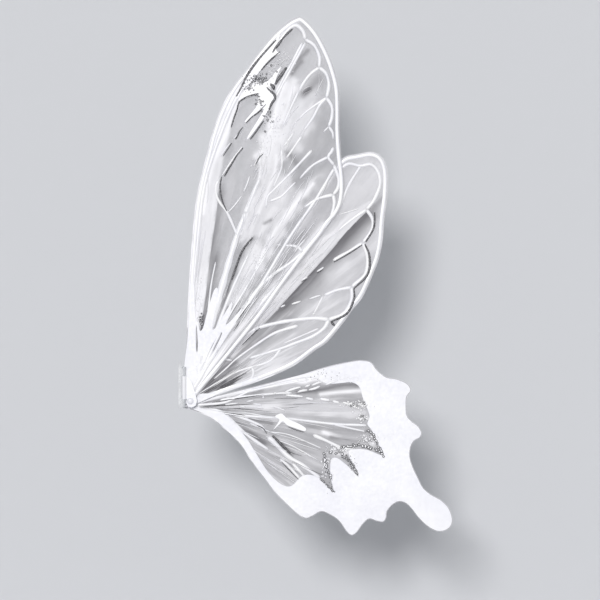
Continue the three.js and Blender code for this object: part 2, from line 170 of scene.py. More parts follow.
middle.ribs = [
    (3, 3, [(213, 322), (224, 329), (240, 326), (254, 328), (264, 317), (266, 300), (258, 280),
     (248, 267)]),
    (3, 3.4, [(248, 267), (256, 254), (255, 239), (243, 222)]),
    (3.4, 3.6, [(243, 222), (249, 204), (247, 181), (228, 162)]),
    (3.6, 3.8, [(228, 162), (228, 146), (218, 127), (197, 118)]),
    (3, 1.4, [(248, 267), (226, 252), (200, 230)]), (3.2, 3.4, [(243, 222), (224, 210), (203, 198)]),
    (3, 2.6, [(228, 162), (208, 158), (191, 151)]), (1.4, 1.8, [(189, 150), (183, 138), (177, 126)]),
    (3.6, 3, [(197, 118), (181, 120), (163, 119), (134, 115), (105, 108), (86, 98), (60, 74)]),
    (3, 1.2, [(155, 110), (124, 100), (97, 83), (72, 65), (58, 52), (42, 38)]),
    (3.4, 2, [(197, 118), (190, 106), (174, 95), (153, 87), (132, 79), (90, 66)]),
    (2.4, 1, [(132, 79), (124, 68), (113, 60), (93, 54), (74, 48), (53, 37), (8, 10)]),
    (2.4, 2, [(93, 54), (95, 45), (90, 34)]), (1.6, 1.2, [(183, 106), (162, 97), (136, 86)]),
    (2.4, 2.4, [(213, 273), (224, 300), (240, 326)]), (2, 1.6, [(55, 65), (66, 63)]),
]
hind.ribs = [
    (4, 1.6, [(6, 6), (62, 16), (116, 27), (170, 37)]),
    (3, 1.8, [(8, 2), (50, 5), (68, 11), (97, 25), (118, 30)]),
    (2.4, 1.6, [(50, 9), (82, 14), (124, 18), (147, 19)]),
    (2.4, 2.4, [(8, 1), (40, -3), (66, -10), (97, -13), (129, -15), (160, -18), (203, -23), (248, -25)]),
    (2.4, 1.2, [(203, -23), (222, -28), (250, -34)]),
    (3, 2.6, [(20, -3), (54, -8), (75, -13), (102, -24), (111, -33)]),
    (2.4, 3, [(54, -8), (68, -20), (84, -36), (115, -58)]),
    (4.6, 3.2, [(115, -41), (124, -49), (142, -67), (160, -78), (185, -96)]),
    (3.2, 2.6, [(131, -70), (145, -83), (157, -97)]), (3, 2.4, [(148, -77), (164, -94)]),
    (3.4, 2, [(176, -38), (192, -45), (214, -55), (230, -57)]),
    (1.2, 1, [(118, -34), (144, -38), (187, -56)]), (1, 1, [(112, -40), (146, -52), (182, -72)]),
    (1, 1, [(90, -22), (118, -34)]),
]

# Short painted dashes and the dark lines beside them and beside the ribs, as (width, points), and painted
# patches, as closed outlines, in mm. The dark lines are mostly painted shadows of the dashes and ribs.
fore.paint = [
    (2.6, [(53, 313), (66, 333), (80, 352)]), (2.2, [(51, 339), (57, 348), (64, 357)]),
    (2.4, [(69, 363), (75, 369), (81, 377)]), (2.6, [(96, 326), (101, 334), (109, 344)]),
    (2, [(91, 325), (93, 327)]), (2.2, [(82, 291), (86, 300), (90, 312)]),
    (2, [(61, 263), (70, 273), (79, 285)]), (2, [(127, 219), (132, 219)]),
    (2, [(107, 201), (110, 207), (116, 216)]), (1.8, [(100, 192), (106, 198)]),
    (2.2, [(190, 372), (197, 379)]),
]
# The dark lines in the splash are marks of their own; those beside the dashes are painted shadows of them.
fore.ink = [
    (3.2, [(126, 496), (105, 473), (90, 454), (78, 430), (72, 420)]),
    (3.6, [(134, 497), (126, 487), (121, 479)]), (2.6, [(148, 511), (140, 504), (133, 496)]),
    (2.4, [(131, 480), (120, 471), (111, 462), (106, 456)]),
    (2.4, [(102, 424), (91, 421), (82, 417), (76, 412), (73, 403)]), (2, [(74, 405), (69, 391), (65, 378)]),
    (4.2, [(140, 459), (133, 449), (128, 442), (125, 436)]),
    (3.8, [(113, 432), (118, 427), (123, 422), (124, 417), (120, 411), (116, 402)]),
    (4.4, [(118, 437), (122, 433), (123, 429)]), (2, [(112, 409), (101, 398), (93, 392), (85, 384)]),
    (1.8, [(109, 387), (100, 374), (91, 362)]), (2.2, [(81, 378), (76, 371), (71, 362)]),
    (2.2, [(81, 350), (73, 341), (64, 326), (56, 312)]),
    (1.9, [(52, 311), (50, 297), (53, 279), (59, 265)]), (1.8, [(108, 342), (103, 337), (98, 328)]),
    (1.2, [(66, 357), (60, 348), (54, 339)]), (2.6, [(94, 229), (84, 217), (77, 204), (66, 172)]),
]
fore.patches = [
    [(133, 460), (127, 447), (124, 438), (118, 431), (122, 424), (123, 417), (119, 407), (114, 399),
     (107, 387), (89, 363), (87, 365), (103, 391), (109, 402), (106, 402), (97, 394), (84, 384), (83, 386),
     (93, 398), (99, 406), (101, 413), (102, 423), (94, 421), (75, 414), (83, 427), (92, 436), (100, 440),
     (108, 438), (117, 443), (126, 454)],
    [(131, 504), (126, 483), (131, 478), (118, 470), (108, 459), (99, 447), (90, 437), (80, 428),
     (74, 416), (75, 425), (84, 441), (101, 466), (113, 481), (123, 493)],
]
middle.paint = [
    (2.8, [(181, 183), (186, 186), (190, 189)]), (2.6, [(160, 171), (168, 176)]),
    (2.6, [(171, 146), (179, 149), (186, 151)]), (2.8, [(147, 139), (153, 141), (159, 143)]),
    (2.6, [(132, 135), (138, 138)]), (3, [(175, 125), (178, 127)]),
    (1.6, [(210, 260), (224, 264), (237, 268)]), (1.4, [(197, 227), (207, 236), (216, 243)]),
]
# Painted shadows of the scalloped ribs, just below and to the right of them.
middle.ink = [
    (2.6, [(259, 263), (259, 252), (257, 240), (247, 223)]),
    (3, [(246, 220), (252, 204), (250, 180), (231, 160)]),
    (3, [(231, 160), (231, 145), (221, 126), (200, 115)]), (3.4, [(200, 115), (205, 110)]),
    (1.8, [(242, 219), (225, 208), (204, 196)]), (1.2, [(189, 186), (181, 181)]),
    (1.2, [(167, 173), (160, 169)]), (1.4, [(104, 107), (92, 96), (80, 84)]),
]
hind.paint = [
    (3.2, [(138, 20), (148, 24), (159, 27)]), (3.2, [(155, 20), (161, 22), (168, 23)]),
    (2.8, [(165, 27), (172, 30)]), (3, [(174, 29), (181, 32), (188, 34)]),
    (3.4, [(170, 23), (178, 25), (185, 28)]), (3.4, [(193, 30), (200, 33), (209, 36)]),
    (3.4, [(139, 16), (150, 15), (162, 14)]), (3.6, [(166, 12), (171, 11), (176, 10)]),
    (4.4, [(185, 11), (191, 10), (198, 9)]), (3.4, [(202, 8), (211, 6)]), (3, [(216, 6), (224, 4)]),
    (2.8, [(107, 13), (110, 13)]), (2.8, [(122, 18), (126, 19)]), (2.2, [(86, 7), (95, 9)]),
    (2.2, [(95, 4), (106, 3)]), (2.2, [(57, 3), (65, 4), (74, 5)]), (1.8, [(76, 1), (84, 0)]),
    (2, [(122, 0), (128, -1), (138, -5)]), (1.8, [(98, 0), (108, -2)]),
]
# The first line paints the shadow below the thick rib.
hind.ink = [
    (3.4, [(145, -63), (133, -51), (121, -39)]), (1.4, [(113, -36), (108, -29), (100, -25)]),
    (1.2, [(163, -34), (152, -31), (142, -27)]), (1.2, [(156, -98), (144, -86), (133, -74)]),
]
hind.patches = [
    [(124, -13), (133, -9), (140, -15), (148, -19), (157, -23), (166, -29), (164, -33), (152, -29),
     (141, -25), (135, -20), (130, -24), (122, -31), (128, -22), (130, -17)],
]
# Sheet white panels at the root, and the slits through the fore one.
fore.gusset = [
    [(0, 2), (0, 36), (3, 67), (6, 91), (8, 125), (9, 165), (15, 165), (16.5, 125), (21, 112), (23, 103),
     (27, 107), (31, 122), (36, 140), (42, 158), (47, 160), (46, 140), (42, 122), (40, 105), (46, 110),
     (56, 126), (66, 142), (64, 128), (58, 112), (66, 118), (80, 134), (72, 116), (60, 97), (46, 74),
     (33, 57), (20, 38), (10, 20), (5, 6)],
    [(18, 111), (19.6, 96), (20, 84), (19, 73), (17.8, 80), (17.4, 96)],
    [(24, 68), (27, 68), (25.4, 63), (23.4, 58), (23, 64)],
    [(18.4, 55), (19.8, 52), (19.2, 47), (18.2, 51)], [(20, 45), (24, 52), (29, 61), (31, 60), (26, 51)],
    [(30, 60), (37, 68), (44, 80), (51, 94), (53, 101), (48, 98), (40, 85), (33, 71)],
    [(35, 61), (42, 68), (47, 76), (49.5, 84), (46, 82), (39.6, 72)],
]
middle.gusset = [
    [(1, 2), (6, 8), (13, 15), (24, 18), (38, 19), (60, 26), (78, 33), (100, 41), (100, 36), (78, 28),
     (60, 23), (40, 14), (20, 5), (8, 0)],
]

# Shading in the film. Zones are (softness, brightness, cover, outline) and fade out beyond their
# outline. Cover is how opaque the film is. Strokes are (side, width, brightness, cover, points):
# side 0 fades both ways from the line, and side 1 only to the right of it.
fore.zones = [
    (1.2, 0.93, 0.74, [(6, 110), (9, 185), (13, 239), (17, 277), (23, 308), (31, 339), (39, 370),
     (50, 401), (64, 427), (74, 412), (64, 375), (56, 340), (50, 310), (45, 266), (40, 230), (35, 195),
     (30, 150), (25, 125), (22, 110)]),
    (6, 0.96, 0.8, [(141, 448), (154, 442), (160, 439), (157, 433), (153, 424), (147, 412), (141, 397),
     (135, 385), (127, 368), (120, 361), (111, 346), (96, 340), (113, 363), (116, 382), (120, 394),
     (126, 412), (126, 425), (134, 439)]),
    (4, 0.92, 0.78, [(104, 347), (121, 350), (129, 347), (132, 330), (128, 313), (121, 296), (114, 280),
     (110, 266), (97, 243), (82, 226), (75, 229), (86, 262), (98, 292), (104, 307)]),
    (5, 0.95, 0.8, [(108, 374), (128, 390), (138, 366), (136, 340), (118, 330), (100, 338)]),
    (6, 0.88, 0.72, [(104, 300), (128, 318), (150, 300), (138, 272), (118, 240), (92, 222), (88, 240)]),
    (5, 0.92, 0.76, [(183, 312), (162, 297), (138, 271), (124, 253), (112, 232), (104, 219), (92, 205),
     (78, 178), (60, 140), (80, 150), (97, 168), (111, 190), (121, 205), (131, 226), (143, 246),
     (162, 275), (178, 300)]),
    (6, 0.9, 0.68, [(178, 414), (160, 404), (144, 382), (132, 356), (130, 338), (144, 340), (158, 352),
     (170, 374), (178, 396)]),
    (5, 0.9, 0.74, [(90, 226), (104, 219), (92, 196), (76, 168), (62, 140), (64, 160), (74, 190)]),
]
fore.strokes = [
    (0, 6, 1, 0.96, [(8, 110), (13, 190), (19, 258), (30, 316), (44, 360), (60, 396), (76, 424)]),
    (0, 5, 1, 0.95, [(27, 262), (35, 308), (47, 344), (59, 372), (69, 398), (76, 414), (90, 440)]),
    (0, 8, 1, 1, [(58, 405), (75, 433), (93, 456), (110, 477), (128, 498), (142, 510)]),
    (0, 5, 0.4, 0.85, [(106, 466), (93, 450), (82, 432)]),
    (1, 20, 0.06, 0.92, [(22, 92), (25, 115), (29, 140), (33, 172), (36, 200)]),
    (1, 16, 0.24, 0.82, [(33, 172), (36, 200), (41, 235), (45, 262), (48, 290)]),
    (0, 3, 1, 0.95, [(104, 347), (103, 310), (96, 291), (86, 262), (78, 235)]),
    (0, 5, 1, 0.92, [(138, 440), (130, 418), (124, 396), (118, 372)]),
    (0, 4, 1, 0.9, [(150, 432), (142, 408), (132, 384)]),
    (0, 4, 0.98, 0.9, [(126, 340), (124, 318), (114, 292), (102, 262)]),
    (0, 4, 1, 0.92, [(176, 302), (150, 272), (128, 244), (112, 216), (98, 186)]),
    (0, 20, 0.97, 0.6, [(173, 425), (152, 400), (140, 372)]),
    (1, 8, 0.18, 0.8, [(56, 145), (62, 166), (77, 207), (92, 228)]),
    (0, 12, 0.32, 0.84, [(163, 423), (172, 431), (184, 444)]), (0, 6, 0.02, 0.97, [(165, 425), (171, 430)]),
    (0, 6, 0.22, 0.84, [(169, 482), (159, 473), (149, 464)]),
    (0, 6, 0.2, 0.84, [(160, 467), (153, 459), (147, 450)]),
    (0, 9, 0.28, 0.74, [(142, 343), (149, 336), (155, 327)]), (0, 4, 0.26, 0.8, [(110, 248), (119, 253)]),
    (0, 12, 0.4, 0.7, [(150, 223), (164, 233)]), (0, 8, 0.45, 0.6, [(154, 304), (164, 314)]),
    (0, 6, 0.45, 0.65, [(66, 355), (60, 340)]), (0, 7, 0.52, 0.6, [(188, 390), (182, 376), (170, 354)]),
    (0, 14, 0.55, 0.5, [(135, 490), (146, 500)]), (0, 9, 1, 0.95, [(26, 78), (38, 106), (48, 132)]),
    (0, 9, 0.98, 0.88, [(14, 24), (52, 76), (88, 120), (126, 166)]),
    (0, 7, 0.96, 0.7, [(126, 166), (160, 210), (190, 246)]), (0, 4, 0.15, 0.97, [(18.6, 108), (18.6, 76)]),
    (0, 4, 0.55, 0.97, [(49, 96), (41, 80), (33, 63)]), (0, 3, 0.1, 0.97, [(48, 82), (42, 72), (36, 62)]),
    (0, 3, 0.3, 0.97, [(24, 67), (24, 60)]), (0, 4, 0.28, 0.88, [(56, 146), (48, 124), (43, 106)]),
    (0, 4, 0.36, 0.84, [(72, 118), (64, 104), (56, 92)]),
]
middle.zones = [
    (1.5, 0.86, 0.84, [(108, 111), (141, 146), (172, 179), (199, 213), (222, 236), (249, 263), (264, 278),
     (250, 277), (225, 262), (205, 240), (185, 225), (160, 190), (120, 150), (90, 115), (70, 85), (62, 64),
     (84, 84)]),
    (4, 0.2, 0.94, [(18, 13), (58, 44), (76, 57), (88, 50), (72, 37), (52, 25), (34, 17)]),
    (2, 0.12, 0.98, [(12, 14), (32, 36), (51, 61), (56, 66), (66, 66), (74, 61), (60, 46), (44, 32),
     (28, 20)]),
]
middle.strokes = [
    # The first two strokes are a painted shadow of the fore wing on the middle wing, dark along the fore
    # wing's edge and fading away from it.
    (1, 30, 0.62, 0.8, [(104, 108), (143, 149), (197, 208), (239, 257)]),
    (1, 30, 0.02, 0.99, [(96, 99), (116, 119), (143, 149), (168, 176), (197, 208), (222, 238), (246, 262)]),
    (0, 8, 0.35, 0.8, [(254, 267), (270, 282)]), (0, 20, 0.42, 0.7, [(104, 96), (128, 112), (140, 116)]),
    (0, 9, 0.3, 0.9, [(70, 66), (86, 82), (102, 100)]), (0, 7, 0.1, 0.96, [(34, 19), (55, 31), (72, 40)]),
    (0, 8, 0.45, 0.8, [(60, 40), (76, 50), (92, 60)]), (0, 10, 0.85, 0.6, [(150, 96), (120, 76), (98, 62)]),
    (0, 12, 0.97, 0.6, [(150, 62), (120, 48), (96, 40)]), (0, 18, 0.84, 0.66, [(200, 176), (220, 190)]),
    (0, 16, 0.8, 0.66, [(170, 132), (195, 140)]), (0, 6, 1, 0.96, [(8, 5), (40, 17), (80, 30), (120, 43)]),
]
hind.zones = [
    (3, 0.72, 0.72, [(100, 22), (131, 30), (170, 40), (184, 36), (160, 31), (120, 20)]),
    (2.5, 1.05, 0.97, [(128, 33), (160, 44), (180, 46), (196, 38), (198, 32), (186, 33), (156, 32)]),
    (4, 0.46, 0.76, [(206, 18), (244, 20), (246, 6), (252, -8), (236, -6), (218, 6)]),
    (3, 0.8, 0.7, [(90, -3), (150, 8), (232, 2), (246, -10), (200, -12), (140, -8)]),
]
hind.strokes = [
    (0, 5, 0.12, 0.92, [(26, 3), (50, 7), (66, 11)]), (0, 4, 0.1, 0.92, [(24, -1), (48, -3), (76, -2)]),
    (0, 6, 0.25, 0.85, [(76, 18), (90, 21), (106, 24)]),
    (0, 7, 0.2, 0.86, [(155, 20), (178, 22), (192, 25), (205, 28), (219, 30), (236, 30)]),
    (0, 5, 1, 0.92, [(186, 17), (212, 20), (242, 22)]),
    (0, 5, 0.4, 0.78, [(200, 12), (220, 13), (243, 16)]),
    (0, 6, 0.2, 0.84, [(88, -17), (104, -20), (120, -23)]), (0, 5, 0.18, 0.84, [(40, -7), (56, -16)]),
    (0, 4, 0.18, 0.84, [(60, -9), (78, -14)]), (0, 9, 0.4, 0.78, [(168, -27), (200, -31), (240, -33)]),
    (0, 5, 1, 0.85, [(190, -34), (214, -42), (257, -49)]),
    (0, 6, 0.22, 0.82, [(200, -41), (226, -45), (250, -47)]),
    (0, 7, 0.3, 0.82, [(70, -20), (90, -34), (110, -50)]),
    (0, 7, 0.16, 0.88, [(122, -42), (134, -52), (146, -64)]),
    (0, 14, 0.56, 0.66, [(118, -66), (132, -86), (142, -98)]),
    (0, 12, 0.56, 0.7, [(150, -52), (180, -72), (188, -84)]),
    (0, 5, 1, 0.85, [(204, -62), (216, -64), (228, -58)]),
    (0, 4, 1, 0.95, [(60, 14), (100, 24), (150, 37)]),
    (0, 6, 0.96, 0.85, [(160, 39), (172, 42), (182, 40)]),
    (0, 5, 1, 1, [(2, 2), (12, 2), (30, -4), (54, -14)]),
]

# Fine lines that run out from the root: (lowest and highest angle in degrees, nearest and
# furthest start, shortest and longest line, width, count), in mm.
fore.fans = [
    (50.5, 57, 110, 270, 16, 60, 1.4, 34), (58, 72, 110, 190, 24, 60, 1.2, 12),
    (83, 87.5, 110, 300, 30, 110, 1.2, 16), (55, 63, 180, 320, 20, 60, 1, 26),
    (66, 74, 330, 460, 8, 30, 0.9, 36), (62, 73, 220, 340, 10, 34, 0.9, 36),
]
fore.dark_fans = [(56, 66, 118, 150, 16, 40, 1, 7)]
middle.fans = [(20, 38, 16, 90, 24, 80, 0.7, 14), (46.4, 50, 60, 290, 20, 60, 1.2, 24)]
middle.dark_fans = [(24, 34, 20, 60, 20, 50, 1.1, 7)]
hind.fans = [(-36, 8, 12, 150, 30, 90, 1, 40), (-44, -28, 40, 100, 20, 60, 1, 8)]
hind.dark_fans = [(-32, 12, 12, 60, 24, 80, 1.2, 16), (-30, 6, 120, 180, 20, 60, 0.7, 6)]

# Beads along lines, as (spread, biggest bead, points), and in loose clusters, as (x, z, spread in
# x, spread in z, count, biggest bead). Drops of paint as (x, z, spread in x, spread in z, count).
hind.chains = [
    (1.6, 1.5, [(214, -55), (232, -52), (250, -54), (264, -60), (271, -66)]),
    (1, 1.3, [(246, -33), (255, -35), (262, -49), (268, -60)]),
    (1.4, 1, [(216, -67), (226, -76), (235, -90)]), (1, 0.8, [(220, -66), (229, -77), (236, -91)]),
    (1.6, 1.7, [(190, -65), (194, -83), (199, -96)]), (0.8, 0.9, [(187, -98), (195, -106), (204, -115)]),
    (2.4, 1.4, [(198, -60), (208, -62), (218, -63)]),
]
hind.clusters = [(236, 3, 4, 1.6, 5, 1.1), (244, -14, 2.4, 1.6, 3, 0.9)]
hind.white_drops = [
    (236, 3, 8, 3, 80), (244, -15, 5, 2.4, 50), (194, -78, 3, 11, 60), (212, -58, 10, 3, 60),
    (196, 39, 20, 2.4, 60), (250, -44, 8, 4, 50), (222, 38, 10, 2, 40),
]
hind.dark_drops = [
    (190, 43, 9, 3, 26), (244, 2, 6, 3, 16), (252, -46, 8, 3, 16), (228, -76, 4, 7, 20),
    (198, -104, 3, 6, 12),
]
fore.clusters = [
    (98, 444, 5, 4, 22, 0.9), (108, 442, 3, 3, 9, 0.9), (90, 432, 3, 3, 8, 0.9), (124, 460, 5, 4, 4, 0.7),
    (105, 415, 4, 5, 9, 0.8), (114, 390, 3, 5, 9, 0.8), (24, 118, 1.8, 6, 12, 0.8),
]
fore.white_drops = [
    (127, 456, 9, 8, 110), (139, 470, 6, 6, 60), (112, 448, 9, 5, 60), (124, 380, 7, 12, 70),
    (108, 336, 6, 14, 50), (100, 200, 10, 12, 50), (22, 140, 2, 18, 30),
]
fore.dark_drops = [
    (95, 440, 7, 5, 34), (87, 430, 4, 3, 18), (108, 446, 7, 3, 18), (130, 462, 4, 3, 3),
    (118, 436, 2.5, 2, 8), (103, 412, 4, 5, 20), (115, 391, 4, 5, 18), (24, 112, 1.6, 6, 14),
]


# ---- outlines

def smooth(points, closed=False, step=3.0):
    """Points along a Catmull-Rom curve through the given ones, about step apart."""
    p = np.array(points, float)
    if closed:
        p = np.vstack([p[-1], p, p[:2]])
    else:
        p = np.vstack([2 * p[0] - p[1], p, 2 * p[-1] - p[-2]])
    out = []
    for a, b, c, d in zip(p[:-3], p[1:-2], p[2:-1], p[3:]):
        count = max(1, round(np.linalg.norm(c - b) / step))
        t = (np.arange(count) / count)[:, None]
        out.append(0.5 * (2 * b + (c - a) * t + (2 * a - 5 * b + 4 * c - d) * t ** 2
                          + (3 * b - a - 3 * c + d) * t ** 3))
    if not closed:
        out.append(p[-2][None])
    return np.vstack(out)


def normals(path, closed=False):
    """The unit normal at each point, to the right of the way along the path."""
    if closed:
        along = np.roll(path, -1, 0) - np.roll(path, 1, 0)
    else:
        along = np.gradient(path, axis=0)
    along /= np.maximum(np.linalg.norm(along, axis=1, keepdims=True), 1e-9)
    return np.column_stack([along[:, 1], -along[:, 0]])


def inside(points, loop):
    """Which points lie inside a closed loop."""
    result = np.zeros(len(points), bool)
    x, z = points[:, 0], points[:, 1]
    for (x0, z0), (x1, z1) in zip(loop, np.roll(loop, -1, 0)):
        crosses = (z0 > z) != (z1 > z)
        height = z1 - z0 if z1 != z0 else 1e-9
        result ^= crosses & (x < (x1 - x0) * (z - z0) / height + x0)
    return result


def distance_to(points, path):
    """Distance from each point to a path, and which points lie to the right of it."""
    best = np.full(len(points), 1e9)
    right = np.zeros(len(points), bool)
    for a, b in zip(path[:-1], path[1:]):
        ab = b - a
        away = points - a
        t = np.clip((away @ ab) / max(ab @ ab, 1e-9), 0, 1)
        d = np.linalg.norm(away - t[:, None] * ab, axis=1)
        nearer = d < best
        best[nearer] = d[nearer]
        right[nearer] = (ab[0] * away[:, 1] - ab[1] * away[:, 0] < 0)[nearer]
    return best, right


def polar(points):
    """Distance from the root, and angle about it, of each point."""
    return np.hypot(points[:, 0], points[:, 1]), np.arctan2(points[:, 1], points[:, 0])


def distance_to_loop(points, loop):
    """Distance from each point to a closed loop."""
    return distance_to(points, np.vstack([loop, loop[:1]]))[0]


# ---- meshes

def new_object(name, verts, faces, material, smooth_faces=True):
    mesh = bpy.data.meshes.new(name)
    mesh.from_pydata([tuple(v) for v in verts], [], faces)
    mesh.materials.append(material)
    if smooth_faces:
        mesh.polygons.foreach_set("use_smooth", [True] * len(mesh.polygons))
    mesh.update()
    piece = bpy.data.objects.new(name, mesh)
    bpy.context.scene.collection.objects.link(piece)
    return piece


class Shape:
    """Vertices and faces gathered for one mesh, in mm, as x, height above the panel, z."""

    def __init__(self):
        self.verts = []
        self.faces = []

    def sweep(self, path, widths, height, lift=0.0, sides=8, closed=False):
        """A flat-topped bar along a path. widths holds the full width at each point."""
        normal = normals(path, closed)
        start = len(self.verts)
        for k in range(sides):
            angle = 2 * math.pi * k / sides
            u, v = (math.copysign(abs(part) ** 0.5, part) for part in (math.cos(angle), math.sin(angle)))
            across = u * widths / 2
            up = lift + v * np.minimum(height, widths) / 2
            self.verts += list(np.column_stack([
                path[:, 0] + normal[:, 0] * across, up, path[:, 1] + normal[:, 1] * across]))
        count = len(path)
        last = count if closed else count - 1
        for k in range(sides):
            a, b = start + k * count, start + ((k + 1) % sides) * count
            for i in range(last):
                j = (i + 1) % count
                self.faces.append((a + i, a + j, b + j, b + i))
        if not closed:
            self.faces.append(tuple(start + k * count for k in range(sides)))
            self.faces.append(tuple(start + (sides - 1 - k) * count + count - 1 for k in range(sides)))

    def dome(self, x, z, radius, height, lift, sides=8, squash=1.0, turn=0.0):
        """A low round bump, such as a bead or a drop of paint."""
        start = len(self.verts)
        cos, sin = math.cos(turn), math.sin(turn)
        for share, rise in ((1, 0), (0.8, 0.65), (0.4, 0.95)):
            for k in range(sides):
                angle = 2 * math.pi * k / sides
                u, v = radius * share * math.cos(angle), radius * share * squash * math.sin(angle)
                self.verts.append((x + u * cos - v * sin, lift + height * rise, z + u * sin + v * cos))
        self.verts.append((x, lift + height, z))
        for ring in range(2):
            for k in range(sides):
                a, b = start + ring * sides, start + (ring + 1) * sides
                n = (k + 1) % sides
                self.faces.append((a + k, a + n, b + n, b + k))
        top = start + 2 * sides
        for k in range(sides):
            self.faces.append((top + k, top + (k + 1) % sides, start + 3 * sides))
        self.faces.append(tuple(start + sides - 1 - k for k in range(sides)))


def panel_root(label):
    """The point where a side's panels meet, which their outlines start from."""
    low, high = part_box(f"{label}_root_tab")
    centre = (Vector(low) + Vector(high)) / 2
    return Vector((centre.x - STUD_FROM_ROOT[0] * MM, centre.y, centre.z - STUD_FROM_ROOT[1] * MM))


class Panel:
    """One panel of one side: its place, its body and the CAD nodes that it is built round."""

    def __init__(self, side_name, name, materials):
        self.label = f"{side_name}_{name}"
        self.side = SIDES[side_name]
        self.body = f"{self.label}_wing"
        self.root = panel_root(self.label)
        self.loop = smooth(PANELS[name].edge, True)
        self.materials = materials

    def within(self, drops):
        """The drops, as (x, z, ...), that lie clear of the panel's edge and inside it."""
        points = np.array([drop[:2] for drop in drops])
        kept = inside(points, self.loop) & (distance_to_loop(points, self.loop) > DROP_CLEARANCE)
        return [drop for drop, keep in zip(drops, kept) if keep]

    def place(self, x, height, z):
        """A point of the panel in the shared frame. Height points away from the other side."""
        return self.root + Vector((x * MM, self.side * height * MM, z * MM))

    def keep(self, name, verts, faces, finish, nodes=(), smooth_faces=True):
        """A piece that rides on this panel and stands for the given CAD nodes."""
        piece = new_object(f"{self.label}_{name}", verts, faces, self.materials[finish], smooth_faces)
        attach(piece, self.body)
        if nodes:
            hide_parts(*[f"{self.label}_{node}" for node in nodes])
        return piece

    def add(self, shape, name, finish, nodes=()):
        verts = [self.place(x, height, z) for x, height, z in shape.verts]
        faces = shape.faces if self.side < 0 else [face[::-1] for face in shape.faces]
        return self.keep(name, verts, faces, finish, nodes)

    def add_sheet(self, outlines, thickness, lift, name, finish, nodes=()):
        """A flat piece with rounded edges, from an outline and any openings in it."""
        mesh = sheet_mesh(outlines, thickness, name)
        verts = [self.place(v.co.x / MM, v.co.z / MM + lift, v.co.y / MM) for v in mesh.vertices]
        faces = [tuple(p.vertices) for p in mesh.polygons]
        if self.side < 0:
            faces = [face[::-1] for face in faces]
        return self.keep(name, verts, faces, finish, nodes, False)


def sheet_mesh(outlines, thickness, name):
    """A filled flat mesh between outlines in mm, with rounded edges."""
    curve = bpy.data.curves.new(name, "CURVE")
    curve.dimensions = "2D"
    curve.fill_mode = "BOTH"
    curve.extrude = curve.bevel_depth = thickness / 4 * MM
    curve.bevel_resolution = 2
    curve.offset = -curve.extrude
    for ring in outlines:
        spline = curve.splines.new("POLY")
        spline.points.add(len(ring) - 1)
        for point, (x, z) in zip(spline.points, ring):
            point.co = (x * MM, z * MM, 0, 1)
        spline.use_cyclic_u = True
    flat = bpy.data.objects.new(name, curve)
    bpy.context.scene.collection.objects.link(flat)
    bpy.context.view_layer.update()
    evaluated = flat.evaluated_get(bpy.context.evaluated_depsgraph_get())
    mesh = bpy.data.meshes.new_from_object(evaluated)
    bpy.data.objects.remove(flat)
    return mesh


# ---- materials

def material(name, colour, roughness, **sockets):
    made = bpy.data.materials.new(name)
    made.use_nodes = True
    shader = made.node_tree.nodes["Principled BSDF"]
    shader.inputs["Base Color"].default_value = (*colour, 1)
    shader.inputs["Roughness"].default_value = roughness
    for socket, value in sockets.items():
        shader.inputs[socket.replace("_", " ")].default_value = value
    return made, made.node_tree, shader


def node(tree, kind, inputs=None, **settings):
    made = tree.nodes.new(kind)
    for key, value in settings.items():
        setattr(made, key, value)
    for key, value in (inputs or {}).items():
        if isinstance(value, bpy.types.NodeSocket):
            tree.links.new(value, made.inputs[key])
        else:
            made.inputs[key].default_value = value
    return made


def mix_colour(tree, factor, first, second):
    made = node(tree, "ShaderNodeMix", {0: factor, 6: first, 7: second}, data_type="RGBA")
    return made.outputs[2]


def maths(tree, operation, first, second, clamp=False):
    made = node(tree, "ShaderNodeMath", {0: first, 1: second}, operation=operation, use_clamp=clamp)
    return made.outputs[0]


def plus(tree, first, second, clamp=False):
    return maths(tree, "ADD", first, second, clamp)


def minus(tree, first, second):
    return maths(tree, "SUBTRACT", first, second)


def times(tree, first, second, clamp=False):
    return maths(tree, "MULTIPLY", first, second, clamp)


def ramp(tree, factor, low, high):
    inputs = {0: factor, 1: low, 2: high}
    return node(tree, "ShaderNodeMapRange", inputs, interpolation_type="SMOOTHSTEP").outputs[0]


def attribute(tree, name, output):
    return node(tree, "ShaderNodeAttribute", attribute_name=name).outputs[output]


def noise(tree, place, stretch, scale, detail):
    mapped = node(tree, "ShaderNodeMapping", {"Vector": place, "Scale": stretch}).outputs[0]
    return node(tree, "ShaderNodeTexNoise", {"Vector": mapped, "Scale": scale, "Detail": detail}).outputs[0]


def object_noise(tree, scale, detail, stretch=(1, 1, 1)):
    return noise(tree, node(tree, "ShaderNodeTexCoord").outputs["Object"], stretch, scale, detail)


def vary_roughness(tree, shader, factor, low, high):
    made = node(tree, "ShaderNodeMapRange", {0: factor, 1: 0.3, 2: 0.7, 3: low, 4: high})
    tree.links.new(made.outputs[0], shader.inputs["Roughness"])


def bump(tree, shader, height, strength, distance=0.0004):
    made = node(tree, "ShaderNodeBump", {"Height": height, "Strength": strength, "Distance": distance})
    tree.links.new(made.outputs[0], shader.inputs["Normal"])


def white_coating(name, colour, roughness, grain):
    """Satin white paint or sheet: faint mottling in colour and gloss, and a fine surface grain."""
    made, tree, shader = material(name, colour, roughness, Coat_Weight=0.25, Coat_Roughness=0.2)
    cloud = object_noise(tree, 22, 4)
    darker = tuple(c * 0.93 for c in colour[:2]) + (colour[2] * 0.965, 1)
    tint = mix_colour(tree, ramp(tree, cloud, 0.35, 0.7), darker, (*colour, 1))
    tree.links.new(tint, shader.inputs["Base Color"])
    fine = object_noise(tree, grain, 3)
    vary_roughness(tree, shader, fine, roughness - 0.1, roughness + 0.12)
    bump(tree, shader, fine, 0.25)
    return made


